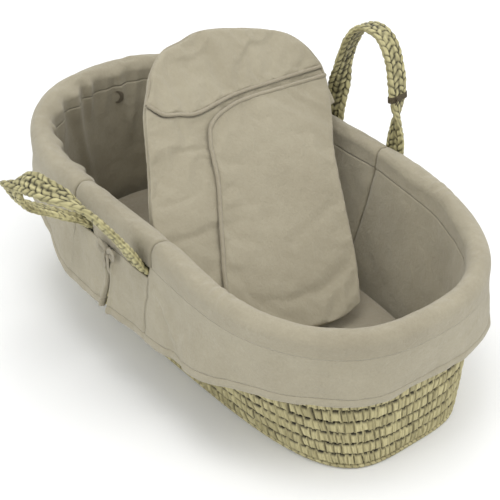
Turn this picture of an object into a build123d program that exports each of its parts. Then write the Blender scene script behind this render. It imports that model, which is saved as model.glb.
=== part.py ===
from build123d import *
from math import cos, sin, pi, radians, exp, hypot, sqrt
import os

# A palm-leaf moses basket with a quilted liner, a mattress and a wrap-over baby nest.
# X runs along the basket (head end negative), Y across it (near side negative),
# Z up from the floor, in millimetres.

# ---- wall of the basket
RIM_HALF_LENGTH = 410.0
RIM_HALF_WIDTH = 243.0
RIM_POWER = 2.55
RIM_HEIGHT = 256.0
HEAD_RISE = 36.0
FOOT_DIP = 8.0
BASE_HALF_LENGTH = 393.0
BASE_HALF_WIDTH = 162.0
BASE_POWER = 3.5
BASE_POWER_SWING = 0.5
WALL_BULGE = 1.3
WALL_HALF = 4.0
NEAR_DENT = 36.0
NEAR_DENT_X = -30.0
NEAR_DENT_REACH = 235.0
BASE_COIL_HEIGHT = 8.0
COURSE_HEIGHT = 44.8
COURSE_COUNT = 5
BINDING_HALF = 7.0
BINDING_GAP = 1.8
OUTLINE_POINTS = 44
OUTLINE_START = 94.0

# ---- liner; pairs give the near side first, then the far side
PAD_INNER = -15.5
PAD_OUTER = -5.5
ROLL_HALF = 18.0
ROLL_LOW = -15.0
STRIP_HALF = 12.5
ROLL_SEAT = 9.0
SEAT_LOW = -80.0
SKIRT_OUTER = 17.0
SKIRT_THICKNESS = 3.6
SKIRT_STEP = 1.2
SKIRT_FLARE = 20.0
FLARE_TOP = 240.0
FLARE_BOTTOM = 100.0
HEM_LEVEL = 110.0
HEM_FOOT_RISE = 43.0
HEM_HEAD_RISE = 68.0
PANEL_LOW = (-151.0, -118.0)
PANEL_HIGH = (55.0, 56.0)
SEAM_GAP = 1.0
SLIT_X = (-48.0, -28.0)
SLIT_HALF = 2.5
SLOT_LOW = (-152.0, -114.0)
SLOT_HIGH = (56.0, 82.0)
SLOT_Z = 217.0
TIE_Z = 212.0
TIE_OUT = 14.0
FLOOR_PAD_BOTTOM = 8.5
FLOOR_PAD_TOP = 12.5
SHELL_TOP_DROP = 19.0

# ---- handles
LEG_LOW = (-127.0, -89.0)
LEG_HIGH = (31.0, 58.0)
FAR_RISE = 213.0
FAR_POWER = 2.5
FAR_TILT = 3.0
NEAR_TILT = 35.0
STRAP_WIDTH = 40.0
STRAP_THICKNESS = 9.0
PIVOT_OUT = 24.0
PIVOT_Z = 232.0
LOOP_SECTIONS = 22
TWIST_START = (140.0, 30.0)
TWIST_LENGTH = (90.0, 110.0)
ANCHOR_BOTTOM_Z = 150.0
ANCHOR_THICKNESS = 7.4
BINDING_PART = 0.76
BINDING_REACH = 0.012
BINDING_GROW = 5.0
BINDING_CLEARANCE = 1.6
# The near handle flops outward: (along, outward, up) from the middle of its pivot line.
NEAR_LOOP = [
    (79, 0, 0), (80, 25, 46), (76, 60, 98), (63, 92, 138), (32, 112, 150), (-8, 118, 147),
    (-48, 118, 128), (-73, 112, 100), (-82, 90, 62), (-82, 45, 30), (-79, 0, 0),
]

# ---- mattress
MATTRESS_HALF_LENGTH = 360.0
MATTRESS_HALF_WIDTH = 148.0
MATTRESS_POWER = 3.0
MATTRESS_BOTTOM = 13.5
MATTRESS_TOP = 71.0
MATTRESS_ROUND = 5.5
COVER_THICKNESS = 2.5
CORE_GAP = 0.6
ZIP_WIDTH = 180.0
ZIP_GAP = 3.0

# ---- nest: outlines are (across, up the slope) from the foot of its front face
NEST_FOOT = (186.0, 98.0)
NEST_SLOPE = 43.0
BACK_LAYER = (-28.0, -13.2)
UNDER_LAYER = (-12.6, -6.6)
OVER_LAYER = (-6.0, 0.0)
PIPING_RADIUS = 2.6
NEST_OUTLINE = [
    (90, 2), (107, 42), (124, 83), (152, 163), (181, 244), (206, 292), (229, 340), (240, 380),
    (238, 412), (226, 436), (196, 465), (127, 492), (59, 508), (16, 503), (-21, 497), (-55, 474),
    (-78, 445), (-93, 425), (-106, 402), (-140, 327), (-162, 284), (-178, 245), (-184, 190),
    (-180, 124), (-160, 60), (-112, 16), (-38, 8), (38, -3),
]
FLAP_EDGE = [
    (236, 367), (183, 371), (141, 374), (81, 378), (50, 377), (16, 370), (-4, 361), (-15, 350),
    (-29, 321), (-44, 274), (-58, 244), (-87, 186), (-117, 124), (-128, 70), (-118, 22),
]
HOOD_SEAM = [(-91, 424), (-75, 402), (-50, 394), (-17, 385), (60, 392), (150, 389), (234, 384)]

def oval(angle, half_length, half_width, power):
    c, s = cos(angle), sin(angle)
    k = (abs(c) ** power + abs(s) ** power) ** (1 / power)
    return half_length * c / k, half_width * s / k


def rim_z(x):
    if x < 0:
        return RIM_HEIGHT + HEAD_RISE * (-x / RIM_HALF_LENGTH) ** 2.5
    return RIM_HEIGHT - FOOT_DIP * (x / RIM_HALF_LENGTH) ** 2


def ease(value):
    t = min(max(value, 0.0), 1.0)
    return t * t * (3 - 2 * t)


def hem_z(x):
    return HEM_LEVEL + HEM_FOOT_RISE * ease((x - 50) / 280) + HEM_HEAD_RISE * ease((-x - 150) / 160)


def rim_xy(angle):
    x, y = oval(angle, RIM_HALF_LENGTH, RIM_HALF_WIDTH, RIM_POWER)
    dent = NEAR_DENT * exp(-abs((x - NEAR_DENT_X) / NEAR_DENT_REACH) ** 3)
    return x, y + dent * sqrt(max(0.0, -sin(angle)))


def wall_point(angle, z):
    """Middle of the palm wall at a height, as x and y."""
    rim_x, rim_y = rim_xy(angle)
    power = BASE_POWER + BASE_POWER_SWING * cos(angle)
    base_x, base_y = oval(angle, BASE_HALF_LENGTH, BASE_HALF_WIDTH, power)
    part = min(max(z / rim_z(rim_x), 0.0), 1.0)
    lean = 1 - (1 - part) ** WALL_BULGE
    return base_x + (rim_x - base_x) * lean, base_y + (rim_y - base_y) * lean


def pushed_out(point, angle, offset):
    """The point of a plan curve moved along the curve's outward normal."""
    step = 0.002
    x0, y0 = point(angle - step)
    x1, y1 = point(angle + step)
    length = hypot(x1 - x0, y1 - y0)
    x, y = point(angle)
    return x + offset * (y1 - y0) / length, y - offset * (x1 - x0) / length


def closed_wire(point, z, offset):
    """Closed wire at height z round the plan curve, moved outward by offset(angle)."""
    points = []
    for i in range(OUTLINE_POINTS):
        angle = radians(OUTLINE_START) + 2 * pi * i / OUTLINE_POINTS
        x, y = pushed_out(point, angle, offset(angle))
        points.append((x, y, z))
    return Wire([Edge.make_spline(points, periodic=True)])


def outline(z, offset):
    """The palm wall's outline at height z, moved outward by offset."""
    return closed_wire(lambda angle: wall_point(angle, z), z, lambda angle: offset)


def tapered(z_low, z_high, offset):
    return Solid.make_loft([outline(z_low, offset), outline(z_high, offset)], ruled=True)


def ring(z_low, z_high, inner, outer):
    return tapered(z_low, z_high, outer) - tapered(z_low, z_high, inner)


def rim_band(reach, low, high):
    """Upright band astride the rim, reach to either side and between two heights from the rim."""
    walls = []
    for offset in (reach, -reach):
        edge = Face(closed_wire(rim_xy, 150.0, lambda angle: offset))
        walls.append(extrude(edge, amount=200))
    return (walls[0] - walls[1]) & profile_block(rim_z, low, high)


def profile_block(height, low, high, x_low=-470.0, x_high=470.0):
    """Everything between two heights that follow height(x), right across the basket."""
    count = 24
    xs = [x_low + (x_high - x_low) * i / count for i in range(count + 1)]
    top = Edge.make_spline([(x, -450, height(x) + high) for x in xs])
    bottom = Edge.make_spline([(x, -450, height(x) + low) for x in xs])
    left = Edge.make_line(bottom @ 0, top @ 0)
    right = Edge.make_line(bottom @ 1, top @ 1)
    face = Face(Wire([bottom, right, top, left]))
    return Solid.extrude(face, Vector(0, 900, 0))


def slab(x_low, x_high, y_low=-450.0, y_high=450.0, z_low=-50.0, z_high=700.0):
    size = (x_high - x_low, y_high - y_low, z_high - z_low)
    middle = ((x_low + x_high) / 2, (y_low + y_high) / 2, (z_low + z_high) / 2)
    return Pos(*middle) * Box(*size)


def which(side):
    """Place in a (near, far) pair."""
    return 0 if side < 0 else 1


def between(lows, highs):
    """Upright block from lows to highs, which give x on the near side and on the far side."""
    return slab(lows[0], highs[0], -450, 0) + slab(lows[1], highs[1], 0, 450)


def moved(edges, shift):
    return (edges[0] + shift, edges[1] + shift)


def head_part(edges):
    return between((-470.0, -470.0), edges)


def foot_part(edges):
    return between(edges, (470.0, 470.0))


def side_part(side, gap):
    """The stretch of one side between the two cross seams."""
    low, high = PANEL_LOW[which(side)] + gap, PANEL_HIGH[which(side)] - gap
    return slab(low, high, -450, 0) if side < 0 else slab(low, high, 0, 450)


def tube(path, radius):
    start = Plane(origin=path @ 0, z_dir=path % 0)
    return sweep(start * Circle(radius), path=Wire([path]))


# ---------------------------------------------------------------- palm basket
def base_panel():
    return tapered(0, BASE_COIL_HEIGHT - 1.0, -WALL_HALF - 1.0)


def base_edge_coil():
    return ring(0.6, BASE_COIL_HEIGHT, -WALL_HALF, WALL_HALF)


def wall_course(index):
    low = BASE_COIL_HEIGHT + COURSE_HEIGHT * index
    return ring(low, low + COURSE_HEIGHT, -WALL_HALF, WALL_HALF)


def wall_course_top():
    low = BASE_COIL_HEIGHT + COURSE_HEIGHT * COURSE_COUNT
    body = ring(low, 300.0, -WALL_HALF, WALL_HALF)
    return body & profile_block(rim_z, -120, -BINDING_HALF - BINDING_GAP)


def rim_binding():
    return rim_band(BINDING_HALF, -BINDING_HALF, BINDING_HALF)


# ---------------------------------------------------------------- handles
def rim_half_width_at(x, side):
    """Distance of the rim from the middle line at x, on the near (-1) or far (1) side."""
    low, high = (0.0, pi) if side > 0 else (2 * pi, pi)
    for _ in range(40):
        middle = (low + high) / 2
        if rim_xy(middle)[0] > x:
            low = middle
        else:
            high = middle
    return abs(rim_xy(middle)[1])


def leg_middle(side):
    return (LEG_LOW[which(side)] + LEG_HIGH[which(side)]) / 2


def pivot_y(side):
    return side * (rim_half_width_at(leg_middle(side), side) + PIVOT_OUT)


def far_loop_points():
    """Upright oval loop between the far legs, leaning a little outward."""
    half = (LEG_HIGH[1] - LEG_LOW[1]) / 2
    points = []
    for i in range(13):
        x, height = oval(pi * i / 12, half, FAR_RISE, FAR_POWER)
        lean = radians(FAR_TILT)
        points.append((x, height * sin(lean), height * cos(lean)))
    return points


def loop_path(side):
    """Middle line of a handle from its foot leg to its head leg, in place."""
    points = NEAR_LOOP if side < 0 else far_loop_points()
    base = Vector(leg_middle(side), pivot_y(side), PIVOT_Z)
    return Edge.make_spline([base + Vector(x, side * out, up) for x, out, up in points])


def strap_section(path, side, part, grow):
    """Section of the strap at a part of the path, its width turning from along to across."""
    along = path % part
    tilt = radians(NEAR_TILT if side < 0 else FAR_TILT)
    across = Vector(0, cos(tilt), -side * sin(tilt))
    flat = along.cross(across).normalized()
    across = flat.cross(along)
    from_leg = min(part, 1 - part) * path.length
    turn = ease((from_leg - TWIST_START[which(side)]) / TWIST_LENGTH[which(side)]) * pi / 2
    plane = Plane(origin=path @ part, x_dir=flat * cos(turn) + across * sin(turn), z_dir=along)
    width, thickness = STRAP_WIDTH + grow, STRAP_THICKNESS + grow
    return plane * RectangleRounded(width, thickness, thickness * 0.38)


def handle_loop(side):
    path = loop_path(side)
    parts = [i / LOOP_SECTIONS for i in range(LOOP_SECTIONS + 1)]
    return loft([strap_section(path, side, part, 0.0) for part in parts])


def far_handle_binding():
    """Raffia wound round the far handle's foot leg where its plait was joined."""
    path = loop_path(1)
    middle = 1 - BINDING_PART
    steps = (-BINDING_REACH, 0.0, BINDING_REACH)
    sleeve = loft([strap_section(path, 1, middle + step, BINDING_GROW) for step in steps])
    room = loft([strap_section(path, 1, middle + step * 1.2, BINDING_CLEARANCE) for step in steps])
    return sleeve - room


def handle_anchor(side, end):
    """Strap end stitched flat on the wall, coming out through the slot in the skirt."""
    x = (LEG_LOW if end < 0 else LEG_HIGH)[which(side)]
    top = (PIVOT_Z - 6.5, 21.0)
    stations = [(ANCHOR_BOTTOM_Z, 9.2), (180.0, 9.0), (205.0, 9.0), (218.0, 12.0), top]
    sections = []
    for z, out in stations:
        wall_y = wall_point(side_angle(x, side, z), z)[1]
        plane = Plane(origin=(x, wall_y + side * out, z), x_dir=(1, 0, 0), z_dir=(0, 0, 1))
        sections.append(plane * RectangleRounded(STRAP_WIDTH, ANCHOR_THICKNESS, 2.6))
    return loft(sections)


def side_angle(x, side, z):
    low, high = (0.0, pi) if side > 0 else (2 * pi, pi)
    for _ in range(40):
        middle = (low + high) / 2
        if wall_point(middle, z)[0] > x:
            low = middle
        else:
            high = middle
    return middle


# ---------------------------------------------------------------- liner
def pad_shell():
    levels = [FLOOR_PAD_TOP + 1.0, 60.0, 110.0, 160.0, 210.0, 300.0]
    outside = Solid.make_loft([outline(z, PAD_OUTER) for z in levels], ruled=True)
    inside = Solid.make_loft([outline(z, PAD_INNER) for z in levels], ruled=True)
    return (outside - inside) & profile_block(rim_z, -400, -SHELL_TOP_DROP)


def skirt_outline(z, inset):
    """Outline of the skirt, which hangs from the rim and flares along the two sides."""
    drop = max(0.0, (FLARE_TOP - z) / (FLARE_TOP - FLARE_BOTTOM))
    return closed_wire(rim_xy, z, lambda a: SKIRT_OUTER - inset + SKIRT_FLARE * drop * (1 - cos(a) ** 4))


def skirt_shell(inset):
    levels = [80.0, FLARE_TOP, 300.0]
    outside = Solid.make_loft([skirt_outline(z, inset) for z in levels], ruled=True)
    inside = Solid.make_loft([skirt_outline(z, inset + SKIRT_THICKNESS) for z in levels], ruled=True)
    body = (outside - inside) & profile_block(rim_z, -400, -SHELL_TOP_DROP)
    body = body & profile_block(hem_z, 0, 400)
    return body - (between(SLOT_LOW, SLOT_HIGH) & slab(-470, 470, -450, 450, SLOT_Z, 400))


def rim_roll(part):
    """Padded roll over the rim, with room inside for the palm binding and the wall."""
    body = rim_band(ROLL_HALF, ROLL_LOW, ROLL_HALF) & part
    return body - rim_band(ROLL_SEAT, SEAT_LOW, ROLL_SEAT)


def rim_strip(side):
    body = rim_band(STRIP_HALF, -STRIP_HALF, STRIP_HALF) & side_part(side, SEAM_GAP)
    return body - rim_band(ROLL_SEAT, SEAT_LOW, ROLL_SEAT)


def liner_floor():
    return tapered(FLOOR_PAD_BOTTOM, FLOOR_PAD_TOP, PAD_OUTER - 0.5)


def tie_bow(side):
    """Two loops, two tails and the knot that close the skirt over its slit."""
    x = SLIT_X[which(side)]
    y = side * (rim_half_width_at(x, side) + SKIRT_OUTER + TIE_OUT)
    bow = Pos(x, y, TIE_Z) * Box(9, 7, 9)
    for end in (-1, 1):
        bow += Pos(x + end * 14, y, TIE_Z + 3) * Rot(0, end * -18, 0) * Box(22, 4.4, 9)
        bow += Pos(x + end * 8, y, TIE_Z - 19) * Rot(0, end * -20, 0) * Box(8, 2.6, 34)
    return bow


def head_motif():
    """Small embroidered crescent on the head lining."""
    moon = Circle(13) - Pos(6, 3) * Circle(10.5)
    angle = pi - 0.08
    z = 247.0
    x, y = pushed_out(lambda a: wall_point(a, z), angle, PAD_INNER - 1.6)
    plane = Plane(origin=(x + 1.4, y, z), x_dir=(0, 1, 0), z_dir=(-1, 0, 0.05))
    return extrude(plane * moon, amount=1.0)


# ---------------------------------------------------------------- mattress
def mattress_outline(inset):
    points = []
    for i in range(OUTLINE_POINTS):
        angle = 2 * pi * i / OUTLINE_POINTS
        x, y = oval(angle, MATTRESS_HALF_LENGTH - inset, MATTRESS_HALF_WIDTH - inset, MATTRESS_POWER)
        points.append((x, y, 0))
    return Face(Wire([Edge.make_spline(points, periodic=True)]))


def mattress_block(inset):
    height = MATTRESS_TOP - MATTRESS_BOTTOM - 2 * inset
    body = extrude(mattress_outline(inset), amount=height)
    return Pos(0, 0, MATTRESS_BOTTOM + inset) * body


def mattress_cover():
    outside = mattress_block(0)
    outside = fillet(outside.edges(), MATTRESS_ROUND)
    middle = (MATTRESS_BOTTOM + MATTRESS_TOP) / 2
    zip_opening = Pos(-MATTRESS_HALF_LENGTH, 0, middle) * Box(40, ZIP_WIDTH, ZIP_GAP)
    return outside - mattress_block(COVER_THICKNESS) - zip_opening


def mattress_core():
    return mattress_block(COVER_THICKNESS + CORE_GAP)


# ---------------------------------------------------------------- nest
def nest_plane(offset):
    slope = radians(NEST_SLOPE)
    normal = Vector(sin(slope), 0, cos(slope))
    origin = Vector(NEST_FOOT[0], 0, NEST_FOOT[1]) + normal * offset
    return Plane(origin=origin, x_dir=(0, 1, 0), z_dir=normal)


def nest_face(points):
    return Face(Wire([Edge.make_spline([(x, y, 0) for x, y in points], periodic=True)]))


def nest_layer(face, layer):
    low, high = layer
    return nest_plane(low) * Solid.extrude(face, Vector(0, 0, high - low))


def shrunk(points, amount):
    """The outline moved towards its middle by about amount."""
    middle_x = sum(p[0] for p in points) / len(points)
    middle_y = sum(p[1] for p in points) / len(points)
    result = []
    for x, y in points:
        reach = hypot(x - middle_x, y - middle_y)
        keep = 1 - amount / reach
        result.append((middle_x + (x - middle_x) * keep, middle_y + (y - middle_y) * keep))
    return result


def area_beyond(line, corners):
    """Face bounded by a spline through line and straight edges through corners."""
    curve = Edge.make_spline([(x, y, 0) for x, y in line])
    stops = [line[-1]] + corners + [line[0]]
    edges = [curve]
    for a, b in zip(stops[:-1], stops[1:]):
        edges.append(Edge.make_line((a[0], a[1], 0), (b[0], b[1], 0)))
    return Face(Wire(edges))


def line_offset(points, amount):
    result = []
    for i, (x, y) in enumerate(points):
        x0, y0 = points[max(0, i - 1)]
        x1, y1 = points[min(len(points) - 1, i + 1)]
        length = hypot(x1 - x0, y1 - y0)
        result.append((x - amount * (y1 - y0) / length, y + amount * (x1 - x0) / length))
    return result


def nest_back_panel():
    return nest_layer(nest_face(NEST_OUTLINE), BACK_LAYER)


def flap_edge(amount):
    line = line_offset(FLAP_EDGE, amount)
    first = (line[0][0] + 60, line[0][1] - 2)
    last = (line[-1][0] + 8, line[-1][1] - 45)
    return [first] + line + [last]


def nest_over_flap():
    right = area_beyond(flap_edge(PIPING_RADIUS + 0.3), [(400, -60)])
    region = nest_layer(right, (OVER_LAYER[0], OVER_LAYER[1]))
    return region & nest_layer(nest_face(shrunk(NEST_OUTLINE, 3)), OVER_LAYER)


def hood_seam(amount):
    line = line_offset(HOOD_SEAM, amount)
    return [(line[0][0] - 60, line[0][1] + 40)] + line + [(line[-1][0] + 60, line[-1][1] - 6)]


def nest_under_flap():
    body = nest_layer(nest_face(shrunk(NEST_OUTLINE, 3)), UNDER_LAYER)
    low = area_beyond(hood_seam(-PIPING_RADIUS - 0.3), [(320, -60), (-320, -60)])
    body = body & nest_layer(low, UNDER_LAYER)
    left = area_beyond(line_offset(flap_edge(0), -60.0), [(-400, -60), (-400, 520), (310, 520)])
    return body & nest_layer(left, UNDER_LAYER)


def nest_hood():
    body = nest_layer(nest_face(shrunk(NEST_OUTLINE, 3)), UNDER_LAYER)
    high = area_beyond(hood_seam(PIPING_RADIUS + 0.3), [(320, 620), (-320, 620)])
    return body & nest_layer(high, UNDER_LAYER)


def cord_on_nest(points, offset, radius):
    plane = nest_plane(offset)
    path = Edge.make_spline([plane.from_local_coords((x, y, 0)) for x, y in points])
    return tube(path, radius)


def nest_flap_piping():
    return cord_on_nest(FLAP_EDGE, (OVER_LAYER[0] + OVER_LAYER[1]) / 2, PIPING_RADIUS)


def nest_hood_piping():
    seam = [(-86, 415)] + HOOD_SEAM[1:-1] + [(226, 384)]
    middle = (UNDER_LAYER[0] + UNDER_LAYER[1]) / 2
    return cord_on_nest(seam, middle - 0.2, PIPING_RADIUS - 0.2)


def save(shape, name):
    export_step(shape, "parts/" + name + ".step")
    print(name)


def save_basket():
    save(base_panel(), "base_panel")
    save(base_edge_coil(), "base_edge_coil")
    for index in range(COURSE_COUNT):
        save(wall_course(index), "wall_course_" + str(index + 1))
    save(wall_course_top(), "wall_course_top")
    save(rim_binding(), "rim_binding")


def save_handles():
    for side, name in ((-1, "near"), (1, "far")):
        for end, end_name in ((-1, "head"), (1, "foot")):
            save(handle_anchor(side, end), name + "_strap_end_" + end_name)
        save(handle_loop(side), name + "_handle_loop")
    save(far_handle_binding(), "far_handle_binding")


def save_liner():
    pads = pad_shell()
    save(pads & head_part(moved(PANEL_LOW, -SEAM_GAP)), "liner_head_pad")
    save(pads & foot_part(moved(PANEL_HIGH, SEAM_GAP)), "liner_foot_pad")
    save(pads & side_part(-1, SEAM_GAP), "liner_near_panel")
    save(pads & side_part(1, SEAM_GAP), "liner_far_panel")
    save(liner_floor(), "liner_floor")
    save(skirt_shell(0.0) & head_part(moved(SLIT_X, -SLIT_HALF)), "skirt_head")
    save(skirt_shell(SKIRT_STEP) & foot_part(moved(SLIT_X, SLIT_HALF)), "skirt_foot")
    save(rim_roll(head_part(moved(PANEL_LOW, -SEAM_GAP))), "rim_roll_head")
    save(rim_roll(foot_part(moved(PANEL_HIGH, SEAM_GAP))), "rim_roll_foot")
    for side, name in ((-1, "near"), (1, "far")):
        save(rim_strip(side), "rim_strip_" + name)
        save(tie_bow(side), name + "_tie")
    save(head_motif(), "head_motif")


def save_bedding():
    save(mattress_core(), "mattress_core")
    save(mattress_cover(), "mattress_cover")
    save(nest_back_panel(), "nest_back_panel")
    save(nest_under_flap(), "nest_under_flap")
    save(nest_over_flap(), "nest_over_flap")
    save(nest_hood(), "nest_hood")
    save(nest_flap_piping(), "nest_flap_piping")
    save(nest_hood_piping(), "nest_hood_piping")


os.makedirs("parts", exist_ok=True)
save_basket()
save_handles()
save_liner()
save_bedding()
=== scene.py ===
from math import cos, radians, sin
import bpy
import numpy as np
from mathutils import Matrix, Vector
from mathutils.geometry import delaunay_2d_cdt


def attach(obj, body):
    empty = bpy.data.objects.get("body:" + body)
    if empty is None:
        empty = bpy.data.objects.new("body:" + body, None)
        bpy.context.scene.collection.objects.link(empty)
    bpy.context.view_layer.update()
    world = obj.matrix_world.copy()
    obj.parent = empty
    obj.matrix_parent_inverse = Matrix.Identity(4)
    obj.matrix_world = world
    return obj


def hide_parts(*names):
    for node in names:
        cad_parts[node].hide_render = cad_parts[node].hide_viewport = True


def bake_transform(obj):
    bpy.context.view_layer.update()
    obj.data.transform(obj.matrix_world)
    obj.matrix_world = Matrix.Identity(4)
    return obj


# A palm-leaf moses basket with its cloth liner, mattress and baby nest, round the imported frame.
# Metres, in the frame of the CAD: X from head to foot, Y from near to far, Z up from the floor.

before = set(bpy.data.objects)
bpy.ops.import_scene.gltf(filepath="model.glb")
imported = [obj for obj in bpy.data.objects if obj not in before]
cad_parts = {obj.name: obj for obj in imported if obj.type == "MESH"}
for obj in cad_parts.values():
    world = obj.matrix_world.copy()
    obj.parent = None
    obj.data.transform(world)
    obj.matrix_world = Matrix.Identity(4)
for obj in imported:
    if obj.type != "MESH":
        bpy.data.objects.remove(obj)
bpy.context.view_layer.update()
RANDOM = np.random.default_rng(7)
PI = np.pi

# ---- wall, as in the CAD
RIM_LENGTH, RIM_WIDTH, RIM_POWER = 0.410, 0.243, 2.55
RIM_HEIGHT, HEAD_RISE, FOOT_DIP = 0.256, 0.036, 0.008
BASE_LENGTH, BASE_WIDTH, BASE_POWER, BASE_SWING = 0.393, 0.162, 3.5, 0.5
WALL_BULGE = 1.3
DENT, DENT_X, DENT_REACH = 0.036, -0.030, 0.235
COURSE_LOW, COURSE_STEP, COURSES = 0.008, 0.0448, 5
BRICK_ROW, BRICK_LENGTH = 0.0224, 0.0125

# ---- liner, as in the CAD
PAD_FACE, PAD_BACK = 0.0155, 0.0055
ROLL_RADIUS, ROLL_SEAT = 0.018, 0.009
SKIRT_FACE, SKIRT_FLARE, SKIRT_THICK = 0.017, 0.020, 0.0036
HEM_LEVEL, HEM_HEAD_RISE, HEM_FOOT_RISE, HEM_BAND = 0.110, 0.068, 0.043, 0.013
PANEL = {"near": (-0.151, 0.055), "far": (-0.118, 0.056)}
SLOT = {"near": (-0.152, 0.056), "far": (-0.114, 0.082)}
SLIT_X = {"near": -0.048, "far": -0.028}
SLOT_Z, TIE_Z = 0.217, 0.212

# ---- handles, as in the CAD
SIDE = {"near": -1, "far": 1}
LEGS = {"near": (-0.127, 0.031), "far": (-0.089, 0.058)}
TILT = {"near": 35.0, "far": 3.0}
TWIST = {"near": (0.140, 0.090), "far": (0.030, 0.110)}
FAR_RISE, FAR_POWER = 0.213, 2.5
STRAP_WIDTH, STRAP_THICK = 0.040, 0.009
PIVOT_OUT, PIVOT_Z = 0.024, 0.232
BINDING_PLACE = 0.24
# The near handle flops outward: (along, outward, up) from the middle of its pivot line.
NEAR_LOOP = [(79, 0, 0), (80, 25, 46), (76, 60, 98), (63, 92, 138), (32, 112, 150), (-8, 118, 147),
             (-48, 118, 128), (-73, 112, 100), (-82, 90, 62), (-82, 45, 30), (-79, 0, 0)]

# ---- bedding, as in the CAD
MATTRESS_LENGTH, MATTRESS_WIDTH, MATTRESS_POWER = 0.360, 0.148, 3.0
MATTRESS_LOW, MATTRESS_HIGH = 0.0135, 0.071
NEST_FOOT, NEST_SLOPE = (0.186, 0.098), 43.0
BACK_LAYER, UNDER_LAYER, OVER_LAYER = (-0.028, -0.0132), (-0.0126, -0.0066), (-0.006, 0.0)

# ---- cloth: the diagonal fold on the near side
FOLD_X, FOLD_Z, FOLD_SLOPE = 0.155, 0.135, 1.15


# ------------------------------------------------------------------ small mathematics
def smooth(value):
    t = np.clip(value, 0, 1)
    return t * t * (3 - 2 * t)


def bell(value):
    return np.exp(-value * value)


def unit(vectors):
    return vectors / np.linalg.norm(vectors, axis=-1, keepdims=True)


def distances(line):
    """Distance of each point of a line from its start, along the line."""
    return np.linalg.norm(np.diff(line, axis=0, prepend=line[:1]), axis=1).cumsum()


def scrambled(*whole):
    """A repeatable value from 0 to 1 for whole numbers."""
    mixed = sum(np.asarray(w, float) * k for w, k in zip(whole, (12.9898, 78.233, 37.719)))
    return np.modf(np.abs(np.sin(mixed + 0.37)) * 43758.5453)[0]


def noise(points, scale, seed=0):
    """Smooth noise from -1 to 1 at points (..., 3), with bumps about 1/scale metres across."""
    p = np.asarray(points) * scale + seed * 17.3
    cell = np.floor(p)
    f = p - cell
    f = f * f * (3 - 2 * f)
    total = 0
    for corner in np.ndindex(2, 2, 2):
        weight = np.prod([f[..., k] if corner[k] else 1 - f[..., k] for k in range(3)], axis=0)
        total = total + weight * scrambled(*[cell[..., k] + corner[k] for k in range(3)])
    return 2 * total - 1


def spline(points, count, closed=False):
    """Catmull-Rom curve through points, as count evenly spaced points."""
    p = np.asarray(points, float)
    ends = [p[-1:], p, p[:2]] if closed else [2 * p[:1] - p[1:2], p, 2 * p[-1:] - p[-2:-1]]
    q = np.concatenate(ends)
    pieces = len(p) if closed else len(p) - 1
    t = np.linspace(0, 1, 16, endpoint=False)[:, None]
    fine = []
    for a, b, c, d in (q[i:i + 4] for i in range(pieces)):
        bent = (2 * a - 5 * b + 4 * c - d) * t ** 2 + (3 * b - a - 3 * c + d) * t ** 3
        fine.append(0.5 * (2 * b + (c - a) * t + bent))
    fine = np.concatenate(fine + [p[:1] if closed else p[-1:]])
    length = np.concatenate([[0], np.cumsum(np.linalg.norm(np.diff(fine, axis=0), axis=1))])
    places = np.linspace(0, length[-1], count, endpoint=not closed)
    return np.stack([np.interp(places, length, fine[:, k]) for k in range(p.shape[1])], axis=1)


# ------------------------------------------------------------------ the basket's shape
def oval(angle, half_length, half_width, power):
    c, s = np.cos(angle), np.sin(angle)
    k = (np.abs(c) ** power + np.abs(s) ** power) ** (1 / power)
    return half_length * c / k, half_width * s / k


def rim_height(x):
    up = HEAD_RISE * (np.clip(-x, 0, None) / RIM_LENGTH) ** 2.5
    return RIM_HEIGHT + up - FOOT_DIP * (np.clip(x, 0, None) / RIM_LENGTH) ** 2


def rim_xy(angle):
    x, y = oval(angle, RIM_LENGTH, RIM_WIDTH, RIM_POWER)
    dent = DENT * np.exp(-np.abs((x - DENT_X) / DENT_REACH) ** 3)
    return x, y + dent * np.sqrt(np.clip(-np.sin(angle), 0, None))


def wall_xy(angle, z):
    rim_x, rim_y = rim_xy(angle)
    base_x, base_y = oval(angle, BASE_LENGTH, BASE_WIDTH, BASE_POWER + BASE_SWING * np.cos(angle))
    lean = 1 - (1 - np.clip(z / rim_height(rim_x), 0, 1)) ** WALL_BULGE
    return base_x + (rim_x - base_x) * lean, base_y + (rim_y - base_y) * lean


def pushed_out(plan, angle, z, offset):
    """Points at height z, pushed outward from the plan curve."""
    x0, y0 = plan(angle - 0.002)
    x1, y1 = plan(angle + 0.002)
    length = np.hypot(x1 - x0, y1 - y0)
    x, y = plan(angle)
    x = x + offset * (y1 - y0) / length
    y = y - offset * (x1 - x0) / length
    return np.stack(np.broadcast_arrays(x, y, z), axis=-1)


def wall_at(angle, z, offset):
    """Points at a distance outward from the middle of the palm wall."""
    return pushed_out(lambda a: wall_xy(a, z), angle, z, offset)


def hang_at(angle, z, offset):
    """Points at a distance outward from the rim's outline, for cloth that hangs from the rim."""
    return pushed_out(rim_xy, angle, z, offset)


ANGLES = np.linspace(-PI, 3 * PI, 2881)
RIM_STEPS = np.hypot(*[np.diff(v) for v in rim_xy(ANGLES)])
RIM_RUN = np.concatenate([[0], np.cumsum(RIM_STEPS)])
RIM_TURNS = np.linspace(0, PI, 2881)
RIM_X = rim_xy(RIM_TURNS)[0]


def even_angles(low, high, count):
    """Angles from low to high that are evenly spaced along the rim; low and high may be rows."""
    t = np.linspace(0, 1, count)
    a = np.interp(low, ANGLES, RIM_RUN)[..., None]
    b = np.interp(high, ANGLES, RIM_RUN)[..., None]
    return np.interp(a + (b - a) * t, RIM_RUN, ANGLES)


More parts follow.
